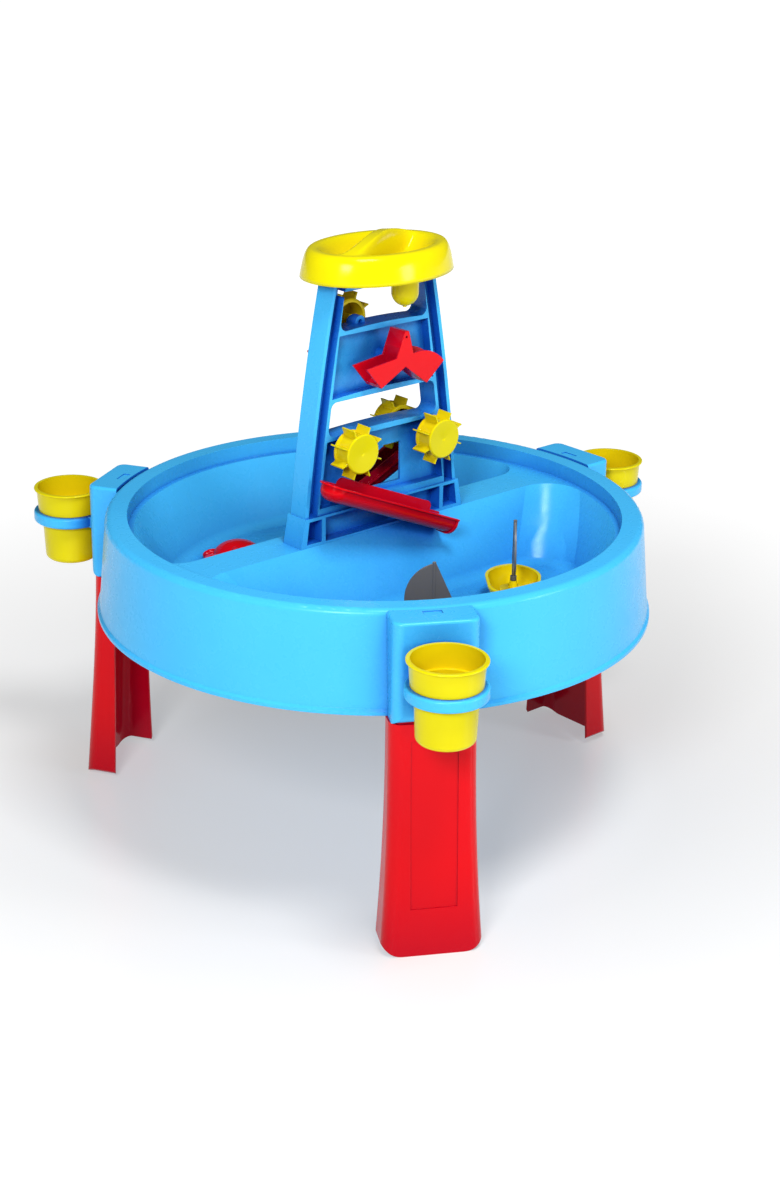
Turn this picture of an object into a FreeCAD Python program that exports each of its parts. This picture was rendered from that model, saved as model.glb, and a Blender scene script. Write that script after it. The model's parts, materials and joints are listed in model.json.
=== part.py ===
"""Sand and water table: round divided basin on three legs, with cup brackets and a water tower.

Millimetres, +Z up. X runs along the basin's divider, the tower faces -Y, and z = 0 is the floor.
"""
import FreeCAD, Part
import math
import os
import re

import Sketcher

# Driving dimensions. Heights whose name ends in _z are measured from the top of the rim.
SIZES = {
    "rim_height": 404, "rim_radius": 330, "rim_inner": 303, "rim_round": 8, "wall": 3.5,
    "apron_radius": 342.4, "apron_depth": 121, "ledge_drop": 19, "ledge_inner": 295,
    "floor_radius": 252, "basin_depth": 100, "front_corner": 52, "front_floor_round": 22,
    "rear_corner": 34, "rear_floor_round": 18,
    "ridge_rear": 35, "ridge_front": 17, "ridge_run": 50,
    "bracket_half": 48.5, "bracket_face": 368, "bracket_drop": 121.4, "bracket_wall": 4,
    "ring_centre": 417, "ring_outer": 46.5, "ring_inner": 37, "ring_z": -59, "ring_tall": 14,
    "cup_rim_z": -21.6, "cup_rim_radius": 45.2, "cup_shoulder": 40.5, "cup_waist": 36.4,
    "cup_base_radius": 33.5, "cup_base_z": -118, "cup_wall": 1.8,
    "leg_foot_face": 383, "leg_top_face": 365, "leg_foot_half": 60, "leg_top_half": 50.5,
    "leg_foot_depth": 45, "leg_top_depth": 29, "leg_wall": 3.2, "leg_panel_half": 27,
    "plug_depth": 18, "toe_run": 26, "toe_rise": 13,
    "tower_foot_z": -19, "tower_top_z": 306, "tower_half_low": 121, "tower_half_high": 82.5,
    "tower_bow": 2.4, "tower_low_z": 17, "tower_high_z": 283, "tower_deep": 14, "web": 3,
    "rail_outer": 5, "rail_channel": 13.7, "rail_inner": 4, "lip": 4,
    "foot_half": 130, "foot_deep": 17,
    "hat_long": 102, "hat_wide": 74, "hat_low_z": 297.5, "hat_rim_z": 331, "hat_crest_z": 345,
    "hat_wall": 2.6, "bowl_floor_z": 303, "spout_along": 20, "spout_out": 27,
    "spout_radius": 16.5,
    "wheel_radius": 24.3, "wheel_wide": 27, "paddle_radius": 32.6, "paddle_thick": 1.8,
    "pin_radius": 3, "pin_play": 0.06, "boss_radius": 7.5, "boss_reach": 16.5,
    "rocker_near": 20, "rocker_wide": 27, "rocker_wall": 2,
    "front_chute_long": 214, "rear_chute_long": 166, "chute_wide": 37, "chute_deep": 20,
    "chute_wall": 2.2, "chute_slope": 23.4, "chute_out": 42.5, "chute_high_z": 69,
    "hull_long": 100, "hull_wide": 66, "hull_tall": 29, "hull_wall": 2.2, "cabin_top": 19, "sail_tall": 76,
    "mast_radius": 2.2,
}

doc = FreeCAD.newDocument("sand_and_water_table")
sheet = doc.addObject("Spreadsheet::Sheet", "Sizes")
for line, (alias, size) in enumerate(SIZES.items(), 1):
    sheet.set("A%d" % line, alias)
    sheet.set("B%d" % line, str(size))
    sheet.setAlias("B%d" % line, alias)
doc.recompute()

AXIS_X = "(apron_radius - ring_centre - ring_outer) / 2"
LEG_ANGLES = {"right": 0, "front": -120, "left": 120}
nodes = []


# ---------------------------------------------------------------- helpers

def linked(text):
    """The expression with each driving dimension pointing at its cell."""
    def point(word):
        return "Sizes." + word.group() if word.group() in SIZES else word.group()
    return re.sub(r"[a-z][a-z_]*", point, str(text))


def value(text):
    return float(sheet.evalExpression(linked(text)))


def bind(thing, prop, text):
    """Set a property to an expression, or to a plain number where it names no dimension."""
    thing.setExpression(prop, linked(text))


def new_body(name):
    body = doc.addObject("PartDesign::Body", name)
    body.Label = name
    return body


def draw(flat, points):
    """Close an outline through the points. ("via", x, y) bends the stretch between its neighbours."""
    corners = [p for p in points if p[0] != "via"]
    vectors = {p: FreeCAD.Vector(value(p[-2]), value(p[-1]), 0) for p in points}
    count = len(points)
    stretches = []
    for index, point in enumerate(points):
        if point[0] == "via":
            continue
        after = points[(index + 1) % count]
        if after[0] == "via":
            end = points[(index + 2) % count]
            number = flat.addGeometry(Part.Arc(vectors[point], vectors[after], vectors[end]))
            near = flat.getPoint(number, 1) - vectors[point]
            start = 1 if near.Length < 1e-6 else 2
            stretches.append((number, start, after))
        else:
            number = flat.addGeometry(Part.LineSegment(vectors[point], vectors[after]))
            stretches.append((number, 1, None))
    for index, (number, start, via) in enumerate(stretches):
        before, before_start, _ = stretches[index - 1]
        flat.addConstraint(Sketcher.Constraint("Coincident", before, 3 - before_start, number, start))
        pin_down(flat, number, start, corners[index])
        if via:
            mark = flat.addGeometry(Part.Point(vectors[via]), True)
            flat.addConstraint(Sketcher.Constraint("PointOnObject", mark, 1, number))
            pin_down(flat, mark, 1, via)


def pin_down(flat, number, end, point):
    """Hold one point of a sketch at its sheet coordinates."""
    for kind, text in (("DistanceX", point[-2]), ("DistanceY", point[-1])):
        held = flat.addConstraint(Sketcher.Constraint(kind, -1, 1, number, end, value(text)))
        bind(flat, "Constraints[%d]" % held, text)


def sketch(body, plane, offset=0):
    flat = body.newObject("Sketcher::SketchObject", body.Label + "_sketch")
    origin = [f for f in body.Origin.OriginFeatures if f.Role == plane + "_Plane"]
    flat.AttachmentSupport = [(origin[0], "")]
    flat.MapMode = "FlatFace"
    bind(flat, "AttachmentOffset.Base.z", offset)
    return flat


def outline(body, plane, points, offset=0):
    flat = sketch(body, plane, offset)
    draw(flat, points)
    return flat


def circle(body, plane, across, up, radius, offset=0):
    flat = sketch(body, plane, offset)
    place = FreeCAD.Vector(value(across), value(up), 0)
    number = flat.addGeometry(Part.Circle(place, FreeCAD.Vector(0, 0, 1), value(radius)))
    pin_down(flat, number, 3, (across, up))
    held = flat.addConstraint(Sketcher.Constraint("Radius", number, value(radius)))
    bind(flat, "Constraints[%d]" % held, radius)
    return flat


def box_points(left, low, right, high):
    return [(left, low), (right, low), (right, high), (left, high)]


def feature(body, kind, flat):
    made = body.newObject("PartDesign::" + kind, body.Label + "_" + kind.lower())
    made.Profile = flat
    return made


def pad(body, flat, length, middle=False, back=False):
    made = feature(body, "Pad", flat)
    bind(made, "Length", length)
    made.Midplane = middle
    made.Reversed = back
    return made


def pocket(body, flat, length, middle=False, back=False):
    """Cut the outline out of the body, and stop if nothing was cut."""
    doc.recompute()
    before = body.Shape.Volume
    made = feature(body, "Pocket", flat)
    bind(made, "Length", length)
    made.Midplane = middle
    made.Reversed = back
    doc.recompute()
    if body.Shape.Volume > before - 1:
        raise RuntimeError("pocket cuts nothing in " + body.Label)
    return made


def turn(body, flat, kind="Revolution"):
    made = feature(body, kind, flat)
    made.ReferenceAxis = (flat, ["V_Axis"])
    made.Angle = 360
    return made


def loft(body, sections, kind="AdditiveLoft", ruled=False):
    made = feature(body, kind, sections[0])
    made.Sections = sections[1:]
    made.Ruled = ruled
    return made


def soften(body, radius, wanted, kind="Fillet"):
    """Round (or bevel) the edges of the body's tip that the test picks by their middle point."""
    doc.recompute()
    base = body.Tip
    names = []
    for index, edge in enumerate(base.Shape.Edges, 1):
        middle = edge.valueAt((edge.FirstParameter + edge.LastParameter) / 2)
        if wanted(middle, edge):
            names.append("Edge%d" % index)
    if not names:
        raise RuntimeError("no edge to soften in " + body.Label)
    made = body.newObject("PartDesign::" + kind, body.Label + "_" + kind.lower())
    made.Base = (base, names)
    bind(made, "Radius" if kind == "Fillet" else "Size", radius)
    doc.recompute()
    return made


def near(a, b, gap=0.05):
    return abs(a - b) < gap


def primitive(kind, name, place=(0, 0, 0), **sizes):
    made = doc.addObject("Part::" + kind, name)
    for prop, text in sizes.items():
        bind(made, prop, text)
    for letter, text in zip("xyz", place):
        bind(made, "Placement.Base." + letter, text)
    return made


def combine(kind, name, base, tool):
    made = doc.addObject("Part::" + kind, name)
    made.Base = base
    made.Tool = tool
    return made


def fuse(name, shapes):
    made = doc.addObject("Part::MultiFuse", name)
    made.Shapes = shapes
    made.Refine = True
    return made


def node(thing, name, place=(0, 0, 0), rotation=None):
    """Name a sub-part and stand it in the table's frame."""
    thing.Label = name
    if rotation:
        thing.Placement = FreeCAD.Placement(FreeCAD.Vector(), rotation)
    for letter, text in zip("xyz", place):
        bind(thing, "Placement.Base." + letter, text)
    nodes.append(thing)


def yaw(degrees):
    return FreeCAD.Rotation(FreeCAD.Vector(0, 0, 1), degrees)


# ---------------------------------------------------------------- basin

def compartment(name, beyond, corner, floor_round):
    """The space of one compartment: a cone cut off along the divider, with rounded corners."""
    body = new_body(name)
    turn(body, outline(body, "XZ", [
        (0, "-basin_depth"), ("floor_radius", "-basin_depth"), ("ledge_inner", "-ledge_drop"),
        (0, "-ledge_drop")]))
    pocket(body, outline(body, "YZ", beyond), 700, middle=True)
    low, high = -value("basin_depth"), -value("ledge_drop")
    soften(body, corner, lambda middle, edge: low + 5 < middle.z < high - 5 and abs(middle.x) > 150)
    soften(body, floor_round, lambda middle, edge: near(middle.z, low))
    return body


def revolved(name, points):
    body = new_body(name)
    turn(body, outline(body, "XZ", points))
    return body


def basin():
    """A thin-walled round tub: skirt, rim, ledge and two compartments beside a hollow divider."""
    puck = revolved("basin_puck", [
        (0, "-apron_depth"), ("apron_radius", "-apron_depth"), ("apron_radius", "4 - apron_depth"),
        ("apron_radius - 3", "7 - apron_depth"), ("rim_radius", "-rim_round"),
        ("via", "rim_radius - rim_round * 0.293", "-rim_round * 0.293"),
        ("rim_radius - rim_round", 0), (0, 0)])
    mouth = revolved("basin_mouth", [
        (0, "-ledge_drop"), ("rim_inner - 1", "-ledge_drop"), ("rim_inner", 5), (0, 5)])
    deep = "-basin_depth - 20"
    front = compartment("basin_front", [
        ("-ridge_front", "-ledge_drop"), ("-ridge_front - ridge_run", "-basin_depth"),
        ("-ridge_front - ridge_run", deep), (360, deep), (360, 10), ("-ridge_front", 10)],
        "front_corner", "front_floor_round")
    rear = compartment("basin_rear", [
        ("ridge_rear", 10), (-360, 10), (-360, deep), ("ridge_rear", deep)],
        "rear_corner", "rear_floor_round")
    under = revolved("basin_under", [
        (0, "-apron_depth - 5"), ("apron_radius - wall", "-apron_depth - 5"),
        ("apron_radius - wall", "4 - apron_depth"), ("apron_radius - 3 - wall", "7 - apron_depth"),
        ("rim_radius - wall", "-rim_round"), ("rim_radius - rim_round", "-wall"),
        ("rim_inner + wall", "-wall"), ("rim_inner + wall", "-ledge_drop - wall"),
        ("ledge_inner + wall", "-ledge_drop - wall"),
        ("floor_radius + wall", "-basin_depth - wall"), (0, "-basin_depth - wall")])

    inside = revolved("basin_inside", [
        (0, "-basin_depth - 40"), ("floor_radius", "-basin_depth - 40"),
        ("floor_radius", "-basin_depth - wall"), ("ledge_inner", "-ledge_drop - wall"),
        (0, "-ledge_drop - wall")])
    tunnel = new_body("basin_tunnel")
    slope_low = "-ridge_front - ridge_run + wall * 1.2"
    pad(tunnel, outline(tunnel, "YZ", [
        ("ridge_rear - wall", deep), ("ridge_rear - wall", "-ledge_drop - wall"),
        ("-ridge_front + wall * 0.6", "-ledge_drop - wall"), (slope_low, "-basin_depth"),
        (slope_low, deep)]), 640, middle=True)
    hollow = combine("Common", "basin_hollow", tunnel, inside)

    void = fuse("basin_void", [mouth, front, rear, under, hollow])
    node(combine("Cut", "basin", puck, void), "basin", (AXIS_X, 0, "rim_height"))


# ---------------------------------------------------------------- legs, brackets and cups

def channel(body, height, face, depth, half, corner):
    """A U section, open towards the basin, drawn at one height."""
    inner = "%s - (%s)" % (face, depth)
    bend = "%s - %g" % (face, corner * 0.293)
    return outline(body, "XY", [
        (inner, "-(%s)" % half), ("%s - %d" % (face, corner), "-(%s)" % half),
        ("via", bend, "%g - (%s)" % (corner * 0.293, half)),
        (face, "%d - (%s)" % (corner, half)), (face, "%s - %d" % (half, corner)),
        ("via", bend, "%s - %g" % (half, corner * 0.293)),
        ("%s - %d" % (face, corner), half), (inner, half)], height)


def leg(name, angle):
    """A flared channel with a tongue on top that plugs up into the bracket."""
    body = new_body(name)
    top = "rim_height - bracket_drop"
    stages = [(0, "leg_foot_face", "leg_foot_depth", "leg_foot_half"),
              (76, "leg_foot_face - 5", "leg_foot_depth - 4.5", "leg_foot_half - 5"),
              (165, "leg_top_face + 6.5", "leg_top_depth + 6", "leg_top_half + 1"),
              (top, "leg_top_face", "leg_top_depth", "leg_top_half")]
    loft(body, [channel(body, *stage, 16) for stage in stages])
    plug_half = "bracket_half - bracket_wall - 0.6"
    plug_face = "bracket_face - bracket_wall - 2"
    pad(body, channel(body, top, plug_face, "plug_depth", plug_half, 6), 80)
    inner = [channel(body, height, face + " - leg_wall", depth + " + 5", half + " - leg_wall", 13)
             for height, face, depth, half in stages]
    loft(body, inner, "SubtractiveLoft")
    slot = channel(body, top, plug_face + " - leg_wall", "plug_depth", plug_half + " - leg_wall", 4)
    pocket(body, slot, 90, back=True)
    panel = [outline(body, "XY", box_points(
                face + " - 1.2", "-leg_panel_half", face + " + 5", "leg_panel_half"), height)
             for height, face in ((58, "leg_foot_face - 3.9"), (76, "leg_foot_face - 5"),
                                  (165, "leg_top_face + 6.5"), (262, "leg_top_face + 1.1"))]
    loft(body, panel, "SubtractiveLoft")
    for sign in (1, -1):
        toe = outline(body, "YZ", [
            ("%d * (leg_foot_half - toe_run)" % sign, 0),
            ("via", "%d * (leg_foot_half - toe_run * 0.4)" % sign, "toe_rise * 0.29"),
            ("%d * leg_foot_half" % sign, "toe_rise"), ("%d * (leg_foot_half + 9)" % sign, "toe_rise"),
            ("%d * (leg_foot_half + 9)" % sign, -9),
            ("%d * (leg_foot_half - toe_run)" % sign, -9)], 300)
        pocket(body, toe, 100, back=True)
    node(body, name, (AXIS_X, 0, 0), yaw(angle))


def bracket(name, angle):
    """A hollow block on the rim's outside, with the ring that holds a cup."""
    body = new_body(name)
    low = "-bracket_drop"
    block = box_points("rim_radius - 14", "-bracket_half", "bracket_face", "bracket_half")
    pad(body, outline(body, "XY", block, low), "bracket_drop")
    face = value("bracket_face")
    half = value("bracket_half")
    soften(body, 12, lambda middle, edge: near(middle.x, face)
           and (near(abs(middle.y), half) or near(middle.z, value(low))))
    soften(body, 3.5, lambda middle, edge: near(middle.z, 0) and middle.x > face - 14)
    pad(body, circle(body, "XY", "ring_centre", 0, "ring_outer", "ring_z - ring_tall / 2"),
        "ring_tall")
    neck = box_points("bracket_face - 3", -24, "bracket_face + 14", 24)
    pad(body, outline(body, "XY", neck, "ring_z - ring_tall / 2"), "ring_tall")
    pocket(body, circle(body, "XY", "ring_centre", 0, "ring_inner", "ring_z - 20"), 40, back=True)
    ring = value("ring_centre")
    soften(body, 3.2, lambda middle, edge: near(abs(middle.z - value("ring_z")),
           value("ring_tall") / 2) and abs(middle.x - ring) < 60
           and near(math.hypot(middle.x - ring, middle.y), value("ring_outer")))
    soften(body, 2, lambda middle, edge: near(abs(middle.z - value("ring_z")),
           value("ring_tall") / 2)
           and near(math.hypot(middle.x - ring, middle.y), value("ring_inner")))
    hollow = box_points("rim_radius - 20", "bracket_wall - bracket_half",
                        "bracket_face - bracket_wall", "bracket_half - bracket_wall")
    pocket(body, outline(body, "XY", hollow, "-bracket_wall"), "bracket_drop")
    basin_side = outline(body, "XZ", [
        (0, "-bracket_drop - 5"), ("apron_radius + 0.2", "-bracket_drop - 5"),
        ("apron_radius + 0.2", "4 - apron_depth"), ("apron_radius - 2.8", "7 - apron_depth"),
        ("rim_radius + 0.2", "-rim_round"), ("rim_radius + 0.2", 5), (0, 5)])
    turn(body, basin_side, "Groove")
    tab = box_points("rim_radius + 5", -11, "rim_radius + 14", 11)
    pocket(body, outline(body, "XY", tab, 0), 1.2)
    node(body, name, (AXIS_X, 0, "rim_height"), yaw(angle))


def cup(name, angle):
    """A round cup whose shoulder hangs on the ring."""
    body = new_body(name)
    shoulder = "ring_z + ring_tall / 2 + 0.4"
    turn(body, outline(body, "XZ", [
        (0, "cup_base_z"), ("cup_base_radius - 6", "cup_base_z"),
        ("via", "cup_base_radius - 1.7", "cup_base_z + 1.8"),
        ("cup_base_radius + 0.3", "cup_base_z + 6"), ("cup_waist", shoulder),
        ("cup_shoulder", shoulder), ("cup_rim_radius - 3", "cup_rim_z - 2.6"),
        ("cup_rim_radius", "cup_rim_z - 2.2"),
        ("via", "cup_rim_radius - 0.3", "cup_rim_z - 0.5"), ("cup_rim_radius - 2", "cup_rim_z"),
        ("cup_rim_radius - 3 - cup_wall", "cup_rim_z"),
        ("cup_shoulder - cup_wall", shoulder + " + cup_wall"),
        ("cup_waist - cup_wall", shoulder + " + cup_wall"),
        ("cup_base_radius - cup_wall", "cup_base_z + 6"),
        ("cup_base_radius - 6", "cup_base_z + cup_wall"), (0, "cup_base_z + cup_wall")]))
    turned = math.radians(angle)
    node(body, name, (AXIS_X + " + ring_centre * %.9f" % math.cos(turned),
                      "ring_centre * %.9f" % math.sin(turned), "rim_height"), yaw(angle))


# ---------------------------------------------------------------- tower

def rail_side(inset, sign=1):
    """Low, middle and high point of the tower's bowed side, moved in by an inset."""
    middle = "((tower_half_low + tower_half_high) / 2 + tower_bow - (%s))" % inset
    high = "(tower_half_high - 7.3 - (%s))" % inset
    return [("%d * (tower_half_low - (%s))" % (sign, inset), "tower_low_z"),
            ("via", "%d * %s" % (sign, middle), "(tower_low_z + tower_high_z) / 2"),
            ("%d * %s" % (sign, high), "tower_top_z")]


def rail_half(height):
    """Half the tower's width at a height, on the chord of its bowed side."""
    return ("(tower_half_low + (tower_half_high - tower_half_low) * (%s - tower_low_z)"
            " / (tower_high_z - tower_low_z) + tower_bow * 0.8)" % height)


def opening(low, high, inset, arch):
    """A panel or opening between the rails, with its lower edge arched."""
    left = "%s - (%s)" % (rail_half(low), inset)
    right = "%s - (%s)" % (rail_half(high), inset)
    lower = [("-(%s)" % left, low), ("via", 0, "%s + %s" % (low, arch)), (left, low)]
    if not arch:
        lower.pop(1)
    return lower + [(right, high), ("-(%s)" % right, high)]


def both_faces(body, points, depth):
    """Sink the outline into the front and the rear face, leaving the web between."""
    pocket(body, outline(body, "XZ", points, "web / 2"), depth, back=True)
    pocket(body, outline(body, "XZ", points, "-web / 2"), depth)


WHEELS = {"front_left": (-57, 93, -1), "front_right": (73, 86, -1),
          "rear_middle": (57, 93, 1), "rear_top": (-26, 240, 1)}
ROCKERS = {"front": (4, 197, -1), "rear": (-7, 189, 1)}


def tower():
    """A ladder frame of two channelled rails, panels and arched bars on a web, with a foot."""
    body = new_body("tower_frame")
    left = rail_side(0, -1)
    pad(body, outline(body, "XZ", rail_side(0) + left[::-1]), "2 * tower_deep", middle=True)
    frame = "rail_outer + rail_channel + rail_inner"
    for sign in (1, -1):
        gutter = rail_side("rail_outer", sign) + rail_side("rail_outer + rail_channel", sign)[::-1]
        both_faces(body, gutter, 20)
    both_faces(body, opening("157", "236 - lip", frame, 3), 20)
    both_faces(body, opening("tower_low_z + 8", "110 - lip", frame, 0), 20)
    both_faces(body, opening("284 + lip", "tower_top_z + 5", frame, 0), 20)
    for low, high in (("236", "284"), ("110", "157 - lip")):
        hole = opening(low, high, frame, 3)
        pocket(body, outline(body, "XZ", hole, 20), 40)
        bottom, top = value(low), value(high)
        soften(body, 9, lambda middle, edge: near(edge.Length, 28, 0.2) and near(middle.y, 0)
               and (near(middle.z, bottom) or near(middle.z, top)))
    pocket(body, outline(body, "XZ", box_points(-39, 30, 39, 80), 20), 40)
    bowl_room = box_points(-64, "bowl_floor_z - hat_wall - 1", 64, "tower_top_z + 5")
    pocket(body, outline(body, "XZ", bowl_room, 20), 40)
    foot_low = [("-foot_half", "tower_foot_z"), ("foot_half", "tower_foot_z"),
                ("foot_half - 7", "tower_low_z"), ("7 - foot_half", "tower_low_z")]
    pad(body, outline(body, "XZ", foot_low), "2 * foot_deep", middle=True)
    both_faces(body, [(-92, "tower_foot_z + 3"), (92, "tower_foot_z + 3"),
                      (92, "tower_low_z - 3"), (-92, "tower_low_z - 3")], 20)
    for sign in (1, -1):
        end = [("%d * 98" % sign, "tower_foot_z + 4"), ("%d * 121" % sign, "tower_foot_z + 4"),
               ("%d * 117" % sign, "tower_low_z - 4"), ("%d * 98" % sign, "tower_low_z - 4")]
        both_faces(body, end, 20)
    for across, up, side in list(WHEELS.values()) + list(ROCKERS.values()):
        boss = circle(body, "XZ", across, up, "boss_radius")
        pad(body, boss, "boss_reach", back=side > 0)
        bore = circle(body, "XZ", across, up, "pin_radius + 0.02")
        pocket(body, bore, "boss_reach + 5", back=side < 0)
    for side in (-1, 1):
        notch = circle(body, "XY", "%d * spout_along * -1" % side, "%d * spout_out" % side,
                       "spout_radius + 1", 240)
        pocket(body, notch, 90, back=True)
    node(body, "tower_frame", (AXIS_X, 0, "rim_height"))


def pins():
    """The pins that the wheels and rockers turn on, each pushed into its boss on the tower."""
    spots = [("wheel_axle_" + name, spot, "boss_reach + wheel_wide - 9") for name, spot in WHEELS.items()]
    spots += [("rocker_axle_" + name, spot, "rocker_wide + 7") for name, spot in ROCKERS.items()]
    for name, (across, up, side), length in spots:
        body = new_body(name)
        pad(body, circle(body, "XZ", 0, 0, "pin_radius"), length, back=side > 0)
        doc.recompute()
        soften(body, 0.6, lambda middle, edge: abs(middle.y) > 20, "Chamfer")
        node(body, name, (AXIS_X + " + %g" % across, "%d * (web / 2 + 3)" % side,
                          "rim_height + %g" % up))


# ---------------------------------------------------------------- wheels, rockers and chutes

def wheel(name, spot):
    """A drum between two discs, with eight paddles, hollow behind and turning on a blind bore."""
    across, up, side = spot
    body = new_body("wheel_" + name)
    face = "wheel_radius"
    turn_flat = outline(body, "XZ", [
        (0, 0), ("wheel_radius - 2", 0), (face, 1.2), (face, 2.2),
        ("wheel_radius - 2.5", 4), ("wheel_radius - 2.5", "wheel_wide - 4"),
        (face, "wheel_wide - 2.2"), (face, "wheel_wide - 1"),
        ("wheel_radius - 1.4", "wheel_wide"), (0, "wheel_wide - 1.6")])
    turn(body, turn_flat)
    blade = outline(body, "XY", [
        ("wheel_radius - 5", -2.6), ("via", "wheel_radius + 0.6", "-paddle_thick / 2 - 0.3"),
        ("paddle_radius", "-paddle_thick / 2"), ("paddle_radius", "paddle_thick / 2"),
        ("via", "wheel_radius + 0.6", "paddle_thick / 2 + 0.3"), ("wheel_radius - 5", 2.6)],
        2.6)
    paddle = pad(body, blade, "wheel_wide - 5.2")
    pattern = body.newObject("PartDesign::PolarPattern", name + "_paddles")
    pattern.Originals = [paddle]
    pattern.Axis = (blade, ["N_Axis"])
    pattern.Angle = 360
    pattern.Occurrences = 8
    body.Tip = pattern
    doc.recompute()
    ring = sketch(body, "XY", 0)
    for radius in ("wheel_radius - 4.6", "pin_radius + 2.6"):
        number = ring.addGeometry(Part.Circle(FreeCAD.Vector(), FreeCAD.Vector(0, 0, 1),
                                              value(radius)))
        ring.addConstraint(Sketcher.Constraint("Coincident", number, 3, -1, 1))
        held = ring.addConstraint(Sketcher.Constraint("Radius", number, value(radius)))
        bind(ring, "Constraints[%d]" % held, radius)
    pocket(body, ring, "wheel_wide - 4.2", back=True)
    pocket(body, circle(body, "XY", 0, 0, "pin_radius + pin_play"), "wheel_wide - 5", back=True)
    tilt = FreeCAD.Rotation(FreeCAD.Vector(1, 0, 0), 90 if side < 0 else -90)
    spin = FreeCAD.Rotation(FreeCAD.Vector(0, 0, 1), 22.5)
    node(body, "wheel_" + name, (AXIS_X + " + %g" % across, "%d * (boss_reach + 1)" % side,
                                 "rim_height + %g" % up), tilt * spin)


def rocker(name, spot, lean, peak):
    """A tipping trough: two sloping arms either side of a divider, open at both ends."""
    across, up, side = spot
    body = new_body("rocker_" + name)
    shape = [(-59, -5), (-34, -30), (2, -7), (38, -30), (63, -5), ("via", 38, 9), (13, 8),
             (3, peak), (-3, peak), (-13, 4)]
    pad(body, outline(body, "XZ", shape, "rocker_near"), "rocker_wide")
    trough_left = [(-66, 4), (-66, -10), (-35.2, -27.1), (-7, -8.5), (-8.5, 3), (-10, 36), (-40, 36)]
    trough_right = [(70, 4), (70, -10), (39.2, -27.1), (9, -7.5), (9, 3), (12, 36), (40, 36)]
    for trough in (trough_left, trough_right):
        pocket(body, outline(body, "XZ", trough, "rocker_near + rocker_wall"),
               "rocker_wide - 2 * rocker_wall", back=True)
    pocket(body, circle(body, "XZ", 0, 0, "pin_radius + pin_play", "rocker_near - 1"),
           "rocker_wide - 2", back=True)
    if peak > 20:
        pocket(body, circle(body, "XZ", 0, "%g - 7" % peak, 1.6, "rocker_near - 1"),
               "rocker_wide + 4", back=True)
    half_turn = yaw(180 if side > 0 else 0)
    tip = FreeCAD.Rotation(FreeCAD.Vector(0, 1, 0), lean)
    node(body, "rocker_" + name, (AXIS_X + " + %g" % across, 0, "rim_height + %g" % up),
         tip * half_turn)


def chute_plan(body, inset, long, height):
    """A plan outline with a half-round closed end at X = 0."""
    half = "chute_wide / 2 - (%s)" % inset
    return outline(body, "XY", [
        ("chute_wide / 2", "-(%s)" % half), (long, "-(%s)" % half), (long, half),
        ("chute_wide / 2", half), ("via", inset, 0)], height)


def chute(name, side):
    """A sloping trough with one closed round end, a rolled rim and a lip at the open end."""
    body = new_body("chute_body_" + name)
    long = name + "_chute_long"
    pad(body, chute_plan(body, 0, long, 0), "chute_deep", back=True)
    low = -value("chute_deep")
    end = value(long)
    soften(body, 13, lambda middle, edge: near(middle.z, low) and middle.x < end - 1)
    pad(body, chute_plan(body, "-3", long, "-2.2"), 2.2)
    wall = outline(body, "XZ", [
        (32, -1), (long + " - 18", -1), (long + " - 18", 4), ("via", long + " - 21", 8),
        (long + " - 29", 9.5), (44, 9.5), ("via", 35, 7.5)], "-chute_wide / 2")
    pad(body, wall, "chute_wall")
    lip = outline(body, "YZ", [
        ("-chute_wide / 2 - 2", 0), ("-chute_wide / 2 - 2", -8),
        ("via", "-chute_wide * 0.4 - 1", -18), (-7, "-chute_deep - 2.5"), (7, "-chute_deep - 2.5"),
        ("via", "chute_wide * 0.4 + 1", -18), ("chute_wide / 2 + 2", -8),
        ("chute_wide / 2 + 2", 0)], long + " - 3.2")
    pad(body, lip, 3.2)

    channel_cut = new_body("chute_cut_" + name)
    trough = chute_plan(channel_cut, "chute_wall", long + " + 10", "chute_wall - chute_deep")
    pad(channel_cut, trough, 50)
    floor = low + value("chute_wall")
    soften(channel_cut, 10.8, lambda middle, edge: near(middle.z, floor) and middle.x < end + 9)
    slope = FreeCAD.Rotation(FreeCAD.Vector(0, 1, 0), value("chute_slope"))
    node(combine("Cut", "chute_" + name, body, channel_cut), "chute_" + name,
         (AXIS_X + " + %d * 112" % side, "%d * chute_out" % side, "rim_height + chute_high_z"),
         yaw(180 if side > 0 else 0) * slope)


# ---------------------------------------------------------------- hopper and spouts

def oval(name, long, wide, height):
    made = primitive("Ellipse", name, (0, 0, height), MajorRadius=long, MinorRadius=wide)
    return made


def oval_loft(name, stages):
    rings = [oval("%s_%d" % (name, index), *stage) for index, stage in enumerate(stages)]
    made = doc.addObject("Part::Loft", name)
    made.Sections = rings
    made.Solid = True
    made.Ruled = False
    return made


def s_band(name, half, low, high):
    """A wall that follows an S across the hopper, from the front left to the rear right."""
    body = new_body(name)
    def edge(gap):
        return [(-90, "%g" % (-30 + gap)), ("via", -52, "%g" % (-26 + gap)), (0, "%g" % gap),
                ("via", 52, "%g" % (26 + gap)), (90, "%g" % (30 + gap))]
    pad(body, outline(body, "XY", edge(-half) + edge(half)[::-1], low), "%s - (%s)" % (high, low))
    return body


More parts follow.
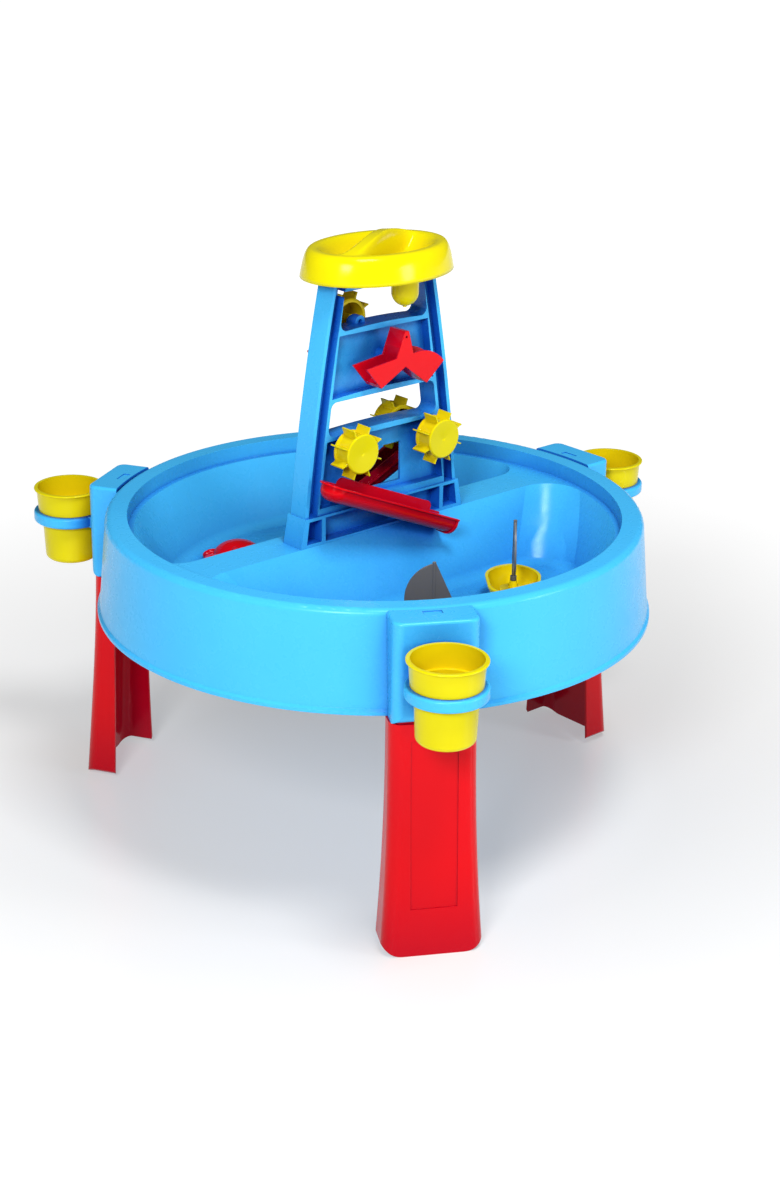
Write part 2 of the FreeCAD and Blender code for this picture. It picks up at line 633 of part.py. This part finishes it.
def hopper():
    """An oval hat with two bowls in its top, kept apart by a raised S-shaped ridge."""
    shell = oval_loft("hat_shell", [
        ("hat_long", "hat_wide", "hat_low_z"), ("hat_long - 4", "hat_wide - 3.5", "hat_low_z + 19"),
        ("hat_long - 8", "hat_wide - 7", "hat_low_z + 29"),
        ("hat_long - 14", "hat_wide - 13", "hat_rim_z")])
    bowl = [("hat_long - 21", "hat_wide - 20", "hat_rim_z"),
            ("hat_long - 33", "hat_wide - 29", "hat_rim_z - 16"),
            ("hat_long - 60", "hat_wide - 42", "bowl_floor_z")]
    bowls = oval_loft("hat_bowls", bowl)
    ridge_low = s_band("hat_ridge_low", 5, "bowl_floor_z - 1", "hat_rim_z + 1")
    cavities = combine("Cut", "hat_cavities", bowls, ridge_low)
    under_shell = oval_loft("hat_under_shell", [
        ("hat_long - hat_wall", "hat_wide - hat_wall", "hat_low_z - 0.01"),
        ("hat_long - 3.5 - hat_wall", "hat_wide - 3 - hat_wall", "hat_low_z + 17"),
        ("hat_long - 10 - hat_wall", "hat_wide - 9 - hat_wall", "hat_rim_z - hat_wall - 3")])
    bowl_walls = oval_loft("hat_bowl_walls", [
        ("hat_long - 18", "hat_wide - 17", "hat_rim_z"),
        ("hat_long - 30", "hat_wide - 26", "hat_rim_z - 16"),
        ("hat_long - 57", "hat_wide - 39", "bowl_floor_z - hat_wall")])
    under = combine("Cut", "hat_under", under_shell, bowl_walls)
    crest_band = s_band("hat_ridge_crest", 5, "hat_rim_z - 3", "hat_crest_z + 5")
    dome = primitive("Sphere", "hat_dome", (0, 0, "hat_crest_z - 300"), Radius=300)
    inside = primitive("Cylinder", "hat_inside", (0, 0, "hat_rim_z - 10"), Radius=88, Height=60)
    crest_round = combine("Common", "hat_crest_round", crest_band, dome)
    crest = combine("Common", "hat_crest", crest_round, inside)
    body = fuse("hat_body", [shell, bowl_walls, crest])
    holes = [primitive("Cylinder", "hat_drain_%d" % side,
                       ("%d * spout_along" % -side, "%d * spout_out" % side, "bowl_floor_z - 10"),
                       Radius=4, Height=20) for side in (-1, 1)]
    void = fuse("hat_void", [cavities, under] + holes)
    node(combine("Cut", "hopper", body, void), "hopper", (AXIS_X, 0, "rim_height"))


def spout(name, side, reach):
    """A round-ended cap below a bowl's drain, with a hole through its tip."""
    body = new_body("spout_" + name)
    low = "bowl_floor_z - hat_wall - %s" % reach
    turn(body, outline(body, "XZ", [
        (0, low), (2.4, low), (2.4, low + " + 1.6"), ("via", "spout_radius * 0.72", low + " + 6.5"),
        ("spout_radius", low + " + 17"), ("spout_radius", "bowl_floor_z - hat_wall - 0.1"),
        (0, "bowl_floor_z - hat_wall - 0.1")]))
    turn(body, outline(body, "XZ", [
        (0, low + " + 4"), (5, low + " + 5"), ("spout_radius - 2.5", low + " + 17"),
        ("spout_radius - 2", "bowl_floor_z + 2"), (0, "bowl_floor_z + 2")]), "Groove")
    doc.recompute()
    pocket(body, circle(body, "XY", 0, 0, 1.3, "bowl_floor_z - 60"), 70, back=True)
    node(body, "spout_" + name, (AXIS_X + " + %d * spout_along" % -side, "%d * spout_out" % side,
                                 "rim_height"))


# ---------------------------------------------------------------- loose toys

def boat_plan(body, scale, height):
    """A hull outline: round stern at -X, pointed bow at +X."""
    half, long = "hull_wide / 2 * %g" % scale, "hull_long / 2 * %g" % scale
    return outline(body, "XY", [
        (long, 0), ("via", "(%s) * 0.72" % long, "(%s) * 0.72" % half), ("(%s) * 0.2" % long, half),
        ("-(%s) * 0.5" % long, "(%s) * 0.92" % half), ("via", "-(%s)" % long, 0),
        ("-(%s) * 0.5" % long, "-(%s) * 0.92" % half), ("(%s) * 0.2" % long, "-(%s)" % half),
        ("via", "(%s) * 0.72" % long, "-(%s) * 0.72" % half)], height)


def boat(name, place, heading):
    hull = new_body("boat_hull_" + name)
    loft(hull, [boat_plan(hull, 0.74, 0), boat_plan(hull, 0.93, "hull_tall * 0.55"),
                boat_plan(hull, 1, "hull_tall")])
    pad(hull, boat_plan(hull, 1.04, "hull_tall - 2.5"), 2.5)
    loft(hull, [boat_plan(hull, 0.62, "hull_wall + 0.6"), boat_plan(hull, 0.86, "hull_tall * 0.55"),
                boat_plan(hull, 0.93, "hull_tall + 1")], "SubtractiveLoft")
    soften(hull, 3, lambda middle, edge: near(middle.z, 0))
    cabin = [(-38, -11), (-38, 11), ("via", -36, 14), (-32, 16), (-2, 16), ("via", 6, 12), (9, 0),
             ("via", 6, -12), (-2, -16), (-32, -16), ("via", -36, -14)]
    pad(hull, outline(hull, "XY", cabin, 2), "cabin_top - 2")
    node(hull, "boat_hull_" + name, place, yaw(heading))

    socket = new_body("mast_socket_" + name)
    turn(socket, outline(socket, "XZ", [
        ("mast_radius + 0.5", "cabin_top"), ("mast_radius + 4", "cabin_top"),
        ("mast_radius + 1.9", "cabin_top + 8"), ("mast_radius + 0.5", "cabin_top + 8")]))
    node(socket, "mast_socket_" + name, place, yaw(heading))

    sail = new_body("boat_sail_" + name)
    foot = "cabin_top + 0.4"
    pad(sail, circle(sail, "XY", 0, 0, "mast_radius", foot), "hull_tall + sail_tall - (%s)" % foot)
    top = "hull_tall + sail_tall"
    cloth = [(-28, top + " - 62"), (-33.5, top + " - 52"), ("via", -28, top + " - 22"),
             (-1, top + " - 2"), (2.5, top + " - 2"), (29, top + " - 62")]
    pad(sail, outline(sail, "XZ", cloth), 2.6, middle=True)
    pad(sail, circle(sail, "XY", 0, 0, "mast_radius + 1.8", "cabin_top + 9"), 5)
    node(sail, "boat_sail_" + name, place, yaw(heading))


def ellipsoid(name, place, across, deep, tall):
    """An ellipsoid: its first radius is the vertical one."""
    return primitive("Ellipsoid", name, place, Radius1=tall, Radius2=across, Radius3=deep)


def crab(place, heading):
    """A hollow sand mould in the shape of a crab: shell, claws, legs and eyes over a flat rim."""
    lumps = [("shell", (0, 0, 6), 31, 25, 19), ("claw_left", (-38, 22, 5), 17, 13, 13),
             ("claw_right", (38, 22, 5), 17, 13, 13), ("eye_left", (-9, 22, 18), 5, 5, 7),
             ("eye_right", (9, 22, 18), 5, 5, 7), ("arm_left", (-26, 12, 5), 14, 8, 9),
             ("arm_right", (26, 12, 5), 14, 8, 9)]
    for side in (-1, 1):
        lumps += [("leg_%d_%d" % (side, row), (side * 28, -6 - row * 10, 4), 13, 5, 7)
                  for row in range(2)]
    outer = [ellipsoid("crab_" + name, spot, *radii) for name, spot, *radii in lumps]
    floor = primitive("Box", "crab_cut", (-80, -80, -50), Length=160, Width=160, Height=50)
    solid = combine("Cut", "crab_solid", fuse("crab_lumps", outer), floor)
    hollow = [ellipsoid("crab_in_" + name, (spot[0], spot[1], spot[2] - 2), radii[0] - 2.2,
                        radii[1] - 2.2, radii[2] - 1)
              for name, spot, *radii in lumps if "eye" not in name and "leg" not in name]
    made = combine("Cut", "crab_mould", solid, fuse("crab_hollow", hollow))
    node(made, "crab_mould", place, yaw(heading))


# ---------------------------------------------------------------- the whole table

def build():
    basin()
    for name, angle in LEG_ANGLES.items():
        leg("leg_" + name, angle)
        bracket("bracket_" + name, angle)
        cup("cup_" + name, angle)
    tower()
    pins()
    for name, spot in WHEELS.items():
        wheel(name, spot)
    rocker("front", ROCKERS["front"], 4.4, 36)
    rocker("rear", ROCKERS["rear"], 16, 9)
    chute("front", -1)
    chute("rear", 1)
    hopper()
    spout("front", -1, 44)
    spout("rear", 1, 20)
    deck = "rim_height - basin_depth + 0.4"
    boat("near", (AXIS_X + " - 76", -193, deck), -36)
    boat("far", (AXIS_X + " + 95", -150, deck), 48)
    crab((AXIS_X + " - 78", 178, deck), 160)


def check():
    """Stop before anything is written if an object failed or a sub-part's shape is bad."""
    doc.recompute()
    bad = [thing.Label for thing in doc.Objects
           if "Invalid" in thing.State or "Error" in thing.State]
    bad += [made.Label for made in nodes if made.Shape.isNull() or not made.Shape.isValid()]
    if bad:
        raise RuntimeError("failed: " + ", ".join(bad))


build()
check()
os.makedirs("parts", exist_ok=True)
for made in nodes:
    made.Shape.exportStep("parts/%s.step" % made.Label)
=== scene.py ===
"""Looks for the sand and water table: glossy moulded plastic, a detailed hopper, studio light.

Metres, +Z up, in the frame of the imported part.
"""
import json
import math

import bpy
import bmesh
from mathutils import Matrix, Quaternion, Vector


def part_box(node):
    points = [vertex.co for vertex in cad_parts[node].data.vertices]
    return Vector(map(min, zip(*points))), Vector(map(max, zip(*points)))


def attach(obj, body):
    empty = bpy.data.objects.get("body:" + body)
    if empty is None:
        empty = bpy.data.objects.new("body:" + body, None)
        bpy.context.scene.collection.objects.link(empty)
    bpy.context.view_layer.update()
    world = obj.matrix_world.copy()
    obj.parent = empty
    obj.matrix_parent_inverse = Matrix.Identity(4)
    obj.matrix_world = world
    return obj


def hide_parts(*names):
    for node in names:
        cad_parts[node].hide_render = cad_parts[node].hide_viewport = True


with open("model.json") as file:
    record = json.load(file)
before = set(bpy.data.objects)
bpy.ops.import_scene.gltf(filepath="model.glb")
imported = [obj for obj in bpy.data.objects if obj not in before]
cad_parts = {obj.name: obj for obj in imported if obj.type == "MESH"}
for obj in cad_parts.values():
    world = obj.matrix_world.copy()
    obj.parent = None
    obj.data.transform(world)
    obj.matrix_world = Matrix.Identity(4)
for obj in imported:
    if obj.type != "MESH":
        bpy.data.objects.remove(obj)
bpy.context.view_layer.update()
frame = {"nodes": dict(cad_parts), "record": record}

MM = 0.001


# ---------------------------------------------------------------- where things are

def middle(node):
    low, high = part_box(node)
    return (Vector(low) + Vector(high)) / 2


AXIS_X = middle("basin").x
RIM_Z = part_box("basin")[1][2]


# ---------------------------------------------------------------- materials

class Nodes:
    """A material's node tree, with one short call for each kind of step."""

    def __init__(self, name):
        self.material = bpy.data.materials.new(name)
        self.material.use_nodes = True
        self.tree = self.material.node_tree
        self.shader = self.tree.nodes["Principled BSDF"]
        self.place = self.add("ShaderNodeTexCoord").outputs["Object"]

    def add(self, kind, **settings):
        made = self.tree.nodes.new(kind)
        for key, given in settings.items():
            setattr(made, key, given)
        return made

    def join(self, start, end):
        self.tree.links.new(start, end)

    def noise(self, scale, detail=2.0, rough=0.5, stretch=None):
        made = self.add("ShaderNodeTexNoise")
        made.inputs["Scale"].default_value = scale
        made.inputs["Detail"].default_value = detail
        made.inputs["Roughness"].default_value = rough
        source = self.place
        if stretch:
            mapping = self.add("ShaderNodeMapping")
            mapping.inputs["Scale"].default_value = stretch
            self.join(source, mapping.inputs["Vector"])
            source = mapping.outputs["Vector"]
        self.join(source, made.inputs["Vector"])
        return made.outputs["Fac"]

    def spread(self, source, low, high, start=0.3, end=0.7):
        """Map a noise's useful range to a range of values."""
        made = self.add("ShaderNodeMapRange")
        for name, given in (("From Min", start), ("From Max", end), ("To Min", low),
                            ("To Max", high)):
            made.inputs[name].default_value = given
        self.join(source, made.inputs["Value"])
        return made.outputs["Result"]

    def blend(self, factor, first, second):
        made = self.add("ShaderNodeMix", data_type="RGBA")
        made.inputs[6].default_value = (*first, 1)
        made.inputs[7].default_value = (*second, 1)
        self.join(factor, made.inputs[0])
        return made.outputs[2]

    def bump(self, source, strength, distance, below=None):
        made = self.add("ShaderNodeBump")
        made.inputs["Strength"].default_value = strength
        made.inputs["Distance"].default_value = distance
        self.join(source, made.inputs["Height"])
        if below:
            self.join(below, made.inputs["Normal"])
        return made.outputs["Normal"]


# How far the painted shade in recesses looks for nearby geometry.
PAINTED_SHADE_REACH = 0.17
SPECULAR_LEVEL = 0.25
PLASTIC_IOR = 1.5
EDGE_RADIUS = 0.7 * MM
PEEL_DEPTH = 0.3 * MM
WAVE_DEPTH = 1.5 * MM


def plastic(name, colour, deep, shade, tint, shine, grain):
    """Injection-moulded plastic: faint colour drift, flow marks, orange peel and softened edges.

    Nooks and corners are blended towards the shade colour by ambient occlusion: painted shade.
    """
    made = Nodes(name)
    drift = made.noise(7, 3, 0.55)
    flow = made.noise(16, 2, 0.5, stretch=(1, 1, 0.25))
    tone = made.add("ShaderNodeMath", operation="MULTIPLY_ADD")
    made.join(flow, tone.inputs[0])
    tone.inputs[1].default_value = 0.35
    made.join(drift, tone.inputs[2])
    factor = made.spread(tone.outputs[0], 0, 1, 0.42, 0.92)
    # Painted shade: ambient occlusion pulls the colour towards the shade colour in recesses.
    hollow = made.add("ShaderNodeAmbientOcclusion", samples=8)
    hollow.inputs["Distance"].default_value = PAINTED_SHADE_REACH
    unshaded_share = made.spread(hollow.outputs["AO"], 0, 1, 0.30, 0.88)
    body = made.blend(unshaded_share, shade, colour)
    made.join(made.blend(factor, colour, deep), body.node.inputs[7])
    made.join(body, made.shader.inputs["Base Color"])
    smear = made.noise(42, 3, 0.6)
    made.join(made.spread(smear, shine - 0.05, shine + 0.07), made.shader.inputs["Roughness"])
    bevel = made.add("ShaderNodeBevel", samples=4)
    bevel.inputs["Radius"].default_value = EDGE_RADIUS
    peel = made.bump(made.noise(240, 2, 0.5), grain, PEEL_DEPTH, bevel.outputs["Normal"])
    made.join(made.bump(made.noise(14, 1, 0.4), grain * 0.5, WAVE_DEPTH, peel),
              made.shader.inputs["Normal"])
    made.shader.inputs["IOR"].default_value = PLASTIC_IOR
    made.shader.inputs["Specular IOR Level"].default_value = SPECULAR_LEVEL
    made.shader.inputs["Specular Tint"].default_value = (*tint, 1)
    return made.material


# The fourth colour of each plastic is its painted shade, laid into recesses.
LOOKS = {
    "blue_plastic": plastic("blue_plastic", (0.054, 0.46, 0.86), (0.046, 0.44, 0.85),
                            (0.004, 0.085, 0.48), (0.7, 0.9, 1), 0.27, 0.03),
    "red_plastic": plastic("red_plastic", (0.66, 0.002, 0.005), (0.63, 0.002, 0.007),
                           (0.36, 0.001, 0.014), (1, 0.45, 0.5), 0.16, 0.02),
    "yellow_plastic": plastic("yellow_plastic", (0.66, 0.59, 0.002), (0.65, 0.56, 0.002),
                              (0.68, 0.50, 0.003), (1, 0.95, 0.45), 0.15, 0.02),
    "grey_plastic": plastic("grey_plastic", (0.16, 0.16, 0.16), (0.145, 0.145, 0.147),
                            (0.08, 0.08, 0.085), (1, 1, 1), 0.34, 0.05),
}


def dress(thing, slot):
    thing.data.materials.clear()
    thing.data.materials.append(LOOKS[slot])


for part in frame["record"]["subparts"]:
    thing = frame["nodes"][part["node"]]
    for place in thing.material_slots:
        place.material = LOOKS[part["material_slot"]]


# ---------------------------------------------------------------- meshes

def smooth_object(name, mesh, slot, body):
    """Make a shaded object from a bmesh that rides on a CAD body."""
    data = bpy.data.meshes.new(name)
    bmesh.ops.recalc_face_normals(mesh, faces=mesh.faces)
    mesh.to_mesh(data)
    mesh.free()
    for face in data.polygons:
        face.use_smooth = True
    made = bpy.data.objects.new(name, data)
    bpy.context.scene.collection.objects.link(made)
    dress(made, slot)
    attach(made, body)
    return made


def ease(value, start, end):
    """Smooth step from 0 at start to 1 at end."""
    part = min(max((value - start) / (end - start), 0), 1)
    return part * part * (3 - 2 * part)


RIDGE_SWING = 30 * MM
RIDGE_REACH = 165 * MM
RIDGE_HALF = 5.5 * MM
RIDGE_FOOT = 15 * MM
BOWL_DEPTH = 20.5 * MM
CREST_RISE = 13 * MM
RIM_BELOW_TOP = 14 * MM
SHELL_THICKNESS = 2.4 * MM
AROUND = 160
BOWL_STEPS = 44

# The skirt from its foot to the rim: inset along, inset across (mm), share of the skirt's height.
SKIRT = [(0.0, 0.0, 0.0), (0.8, 0.7, 0.12), (2.2, 1.9, 0.34), (4.0, 3.5, 0.57), (6.2, 5.5, 0.77),
         (8.6, 7.7, 0.90), (11.2, 10.2, 0.975), (13.8, 12.8, 1.0)]
LIP_WIDTH = 4.5 * MM


def hopper_height(x, y, long, wide, rim):
    """Height of the hopper's top: a rim, two bowls and a raised S-shaped ridge between them."""
    out = math.hypot(x / long, y / wide)
    turn = math.pi * x / RIDGE_REACH
    slope = math.atan(RIDGE_SWING * math.pi / RIDGE_REACH * math.cos(turn))
    away = abs(y - RIDGE_SWING * math.sin(turn)) * math.cos(slope)
    wall = ease(away, RIDGE_HALF, RIDGE_FOOT)
    bowl = BOWL_DEPTH * (1 - ease(out, 0.62, 1.0))
    crest = CREST_RISE * (1 - out * out)
    return rim + max(crest, 0) * (1 - wall) - bowl * wall


def oval(mesh, centre, long, wide, height):
    """A ring of points on an oval; height is a number, or a function of the place on the oval."""
    ring = []
    for step in range(AROUND):
        angle = 2 * math.pi * step / AROUND
        x, y = long * math.cos(angle), wide * math.sin(angle)
        z = height(x, y) if callable(height) else height
        ring.append(mesh.verts.new((centre.x + x, centre.y + y, z)))
    return ring


def hopper():
    """The hopper's smooth shell: a rounded skirt, a lip and two bowls parted by the ridge."""
    low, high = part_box("hopper")
    centre = middle("hopper")
    long, wide = (high[0] - low[0]) / 2, (high[1] - low[1]) / 2
    rim = high[2] - RIM_BELOW_TOP
    mesh = bmesh.new()
    rings = [oval(mesh, centre, long - along * MM, wide - across * MM, low[2] + share * (rim - low[2]))
             for along, across, share in SKIRT]
    edge_long, edge_wide = long - SKIRT[-1][0] * MM, wide - SKIRT[-1][1] * MM
    for level in range(1, BOWL_STEPS):
        share = 1 - level / BOWL_STEPS
        rings.append(oval(mesh, centre, edge_long * share, edge_wide * share,
                          lambda x, y: hopper_height(x, y, edge_long - LIP_WIDTH,
                                                     edge_wide - LIP_WIDTH, rim)))
    for first, second in zip(rings, rings[1:]):
        for step in range(AROUND):
            after = (step + 1) % AROUND
            mesh.faces.new((first[step], first[after], second[after], second[step]))
    top = mesh.verts.new((centre.x, centre.y, hopper_height(0, 0, edge_long, edge_wide, rim)))
    for step in range(AROUND):
        mesh.faces.new((rings[-1][step], rings[-1][(step + 1) % AROUND], top))
    made = smooth_object("hopper_shell", mesh, "yellow_plastic", "table")
    thicken = made.modifiers.new("thickness", "SOLIDIFY")
    thicken.thickness = SHELL_THICKNESS
    thicken.offset = -1
    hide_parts("hopper")


hopper()


# ---------------------------------------------------------------- floor, light and camera

FLOOR_HALF = 30


def floor():
    """A pale studio sweep that brightens to white away from the table; its glow is painted light,
    dimmer near the table.
    """
    mesh = bpy.data.meshes.new("floor")
    half = FLOOR_HALF
    mesh.from_pydata([(-half, -half, 0), (half, -half, 0), (half, half, 0), (-half, half, 0)], [],
                     [(0, 1, 2, 3)])
    made = bpy.data.objects.new("floor", mesh)
    bpy.context.scene.collection.objects.link(made)
    look = Nodes("floor")
    away = look.add("ShaderNodeVectorMath", operation="LENGTH")
    look.join(look.place, away.inputs[0])
    far = look.spread(away.outputs["Value"], 0, 1, 0.5, 2.4)
    look.join(look.blend(far, (0.46, 0.46, 0.46), (0.60, 0.60, 0.60)),
              look.shader.inputs["Base Color"])
    look.join(look.spread(look.noise(2, 1), 0.28, 0.31), look.shader.inputs["Roughness"])
    # Painted light: the floor glows, weakly near the table and strongly far from it.
    look.shader.inputs["Emission Color"].default_value = (1, 1, 1, 1)
    look.join(look.spread(away.outputs["Value"], 0.38, 0.99, 0.35, 1.9),
              look.shader.inputs["Emission Strength"])
    mesh.materials.append(look.material)


def softbox(name, place, target, width, power):
    """A square area light that faces its target."""
    data = bpy.data.lights.new(name, "AREA")
    data.size = width
    data.energy = power
    made = bpy.data.objects.new(name, data)
    made.location = place
    aim = Vector(target) - Vector(place)
    made.rotation_euler = aim.to_track_quat("-Z", "Y").to_euler()
    bpy.context.scene.collection.objects.link(made)


def lights():
    """Two softboxes in front, a weak overhead one, and a dim even surround."""
    centre = (AXIS_X, 0, RIM_Z)
    softbox("key", (1.25, -2.55, 1.1), centre, 0.65, 22)
    softbox("fill", (-2.1, -1.45, 1.75), centre, 0.7, 55)
    softbox("top", (-0.35, -1.2, 2.9), centre, 0.8, 60)
    world = bpy.data.worlds.new("studio")
    world.use_nodes = True
    back = world.node_tree.nodes["Background"]
    back.inputs["Color"].default_value = (1, 1, 1, 1)
    back.inputs["Strength"].default_value = 0.09
    bpy.context.scene.world = world


EYE_X, EYE_Y, EYE_RISE = -1.663, -1.917, 0.904
HEADING_TRIM = -0.008
PITCH = math.radians(-21.94)
ROLL = 0.014
LENS = 65.9


def camera():
    """The eye stands 1.3 m up, off the front left of the table, and looks down at the basin."""
    data = bpy.data.cameras.new("camera")
    data.lens = LENS
    data.sensor_width = 36
    made = bpy.data.objects.new("camera", data)
    made.location = (AXIS_X + EYE_X, EYE_Y, RIM_Z + EYE_RISE)
    heading = math.atan2(-EYE_Y, -EYE_X) + HEADING_TRIM
    aim = Vector((math.cos(heading) * math.cos(PITCH), math.sin(heading) * math.cos(PITCH),
                  math.sin(PITCH)))
    roll = Quaternion((0, 0, 1), ROLL)
    made.rotation_euler = (aim.to_track_quat("-Z", "Y") @ roll).to_euler()
    bpy.context.scene.collection.objects.link(made)
    bpy.context.scene.camera = made


floor()
lights()
camera()
bpy.context.scene.view_settings.view_transform = "Standard"
